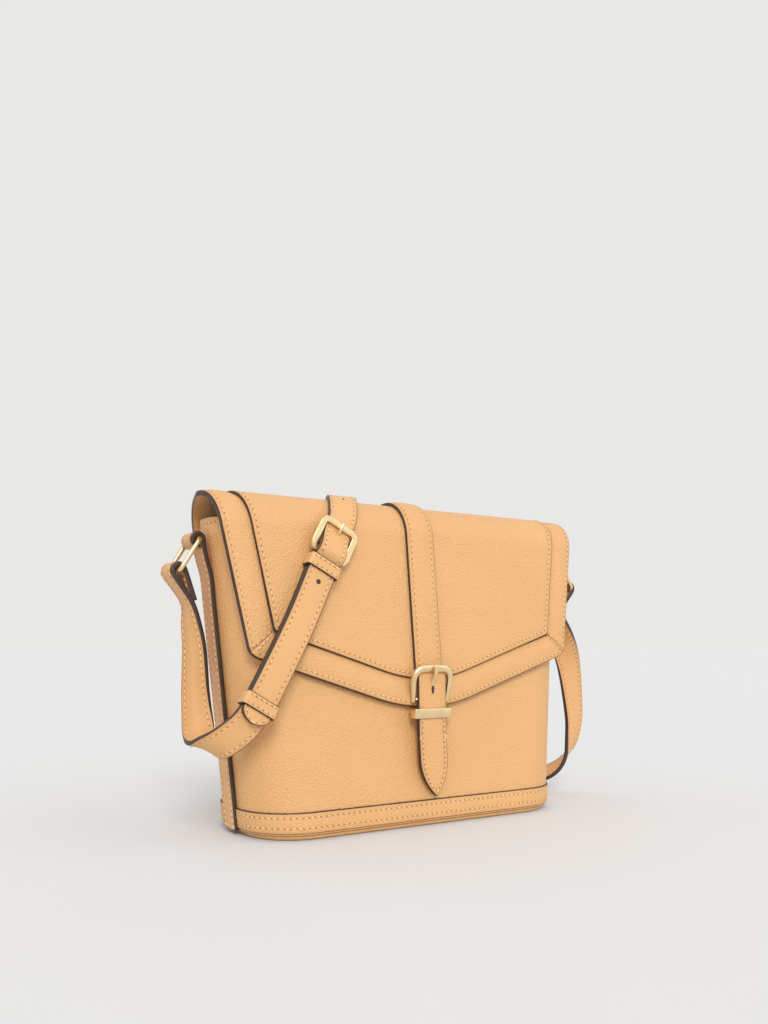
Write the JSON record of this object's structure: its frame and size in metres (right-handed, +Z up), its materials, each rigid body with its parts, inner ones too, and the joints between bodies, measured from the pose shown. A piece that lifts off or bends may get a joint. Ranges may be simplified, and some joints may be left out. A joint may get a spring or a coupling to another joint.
{
  "type": "sling bag",
  "caption": "Small structured crossbody bag with a pointed front flap, buckled closure tongue, side rings and an adjustable shoulder strap laid over it",
  "frame": {"origin": "middle of the base's underside, on the surface the bag stands on", "axes": "+X towards the wearer's right as the front is looked at, the front faces -Y, +Z up"},
  "size_m": [0.3202, 0.1009, 0.2028],
  "materials": {
    "tan_leather": "fine pebbled tan leather with dark painted edges and cream stitching",
    "lining": "dark brown woven lining",
    "board": "stiff fibre board",
    "pale_gold": "brushed pale gold plating",
    "steel": "plain stamped steel"
  },
  "bodies": {
    "bag": {"front_panel": "tan_leather", "back_panel": "tan_leather", "base_panel": "tan_leather", "base_board": "board", "lining": "lining", "slip_pocket": "lining", "base_trim_front": "tan_leather", "base_trim_back": "tan_leather", "side_strip_left": "tan_leather", "side_strip_right": "tan_leather", "snap_socket": "pale_gold", "snap_washer": "steel", "strap_short": "tan_leather", "strap_long": "tan_leather"},
    "flap": {"flap_panel": "tan_leather", "flap_lining": "lining", "flap_trim_left": "tan_leather", "flap_trim_right": "tan_leather", "flap_trim_lower": "tan_leather", "centre_strap": "tan_leather", "closure_tongue": "tan_leather", "tongue_backing": "tan_leather", "closure_buckle_frame": "pale_gold", "closure_buckle_pin": "pale_gold", "closure_keeper": "pale_gold", "snap_stud": "pale_gold", "strap_buckle_frame": "pale_gold", "strap_keeper_fixed": "tan_leather"},
    "closure_prong": {"closure_prong": "pale_gold"},
    "strap_prong": {"strap_prong": "pale_gold"},
    "strap_keeper_sliding": {"strap_keeper_sliding": "tan_leather"},
    "ring_left": {"ring_left": "pale_gold"},
    "ring_right": {"ring_right": "pale_gold"}
  },
  "joints": [
    {"name": "flap_hinge", "type": "hinge", "parent": "bag", "child": "flap", "pos_m": [0, 0.02625, 0.172], "axis": [-1, 0, 0], "range_deg": [0, 160], "deforming": ["strap_short", "strap_long"]},
    {"name": "closure_prong_hinge", "type": "hinge", "parent": "flap", "child": "closure_prong", "pos_m": [0, -0.042, 0.0775], "axis": [1, 0, 0], "range_deg": [0, 12]},
    {"name": "strap_prong_hinge", "type": "hinge", "parent": "flap", "child": "strap_prong", "pos_m": [-0.0671, -0.0364, 0.1636], "axis": [0.8824, 0, -0.4706], "range_deg": [0, 12]},
    {"name": "keeper_slide", "type": "slide", "parent": "flap", "child": "strap_keeper_sliding", "axis": [0.511, 0.1069, 0.8529], "range_m": [0, 0.04]},
    {"name": "ring_left_hinge", "type": "hinge", "parent": "bag", "child": "ring_left", "pos_m": [-0.1356, 0, 0.1703], "axis": [0, 1, 0], "range_deg": [-28, 110]},
    {"name": "ring_right_hinge", "type": "hinge", "parent": "bag", "child": "ring_right", "pos_m": [0.1356, 0, 0.1703], "axis": [0, -1, 0], "range_deg": [-28, 110]}
  ]
}
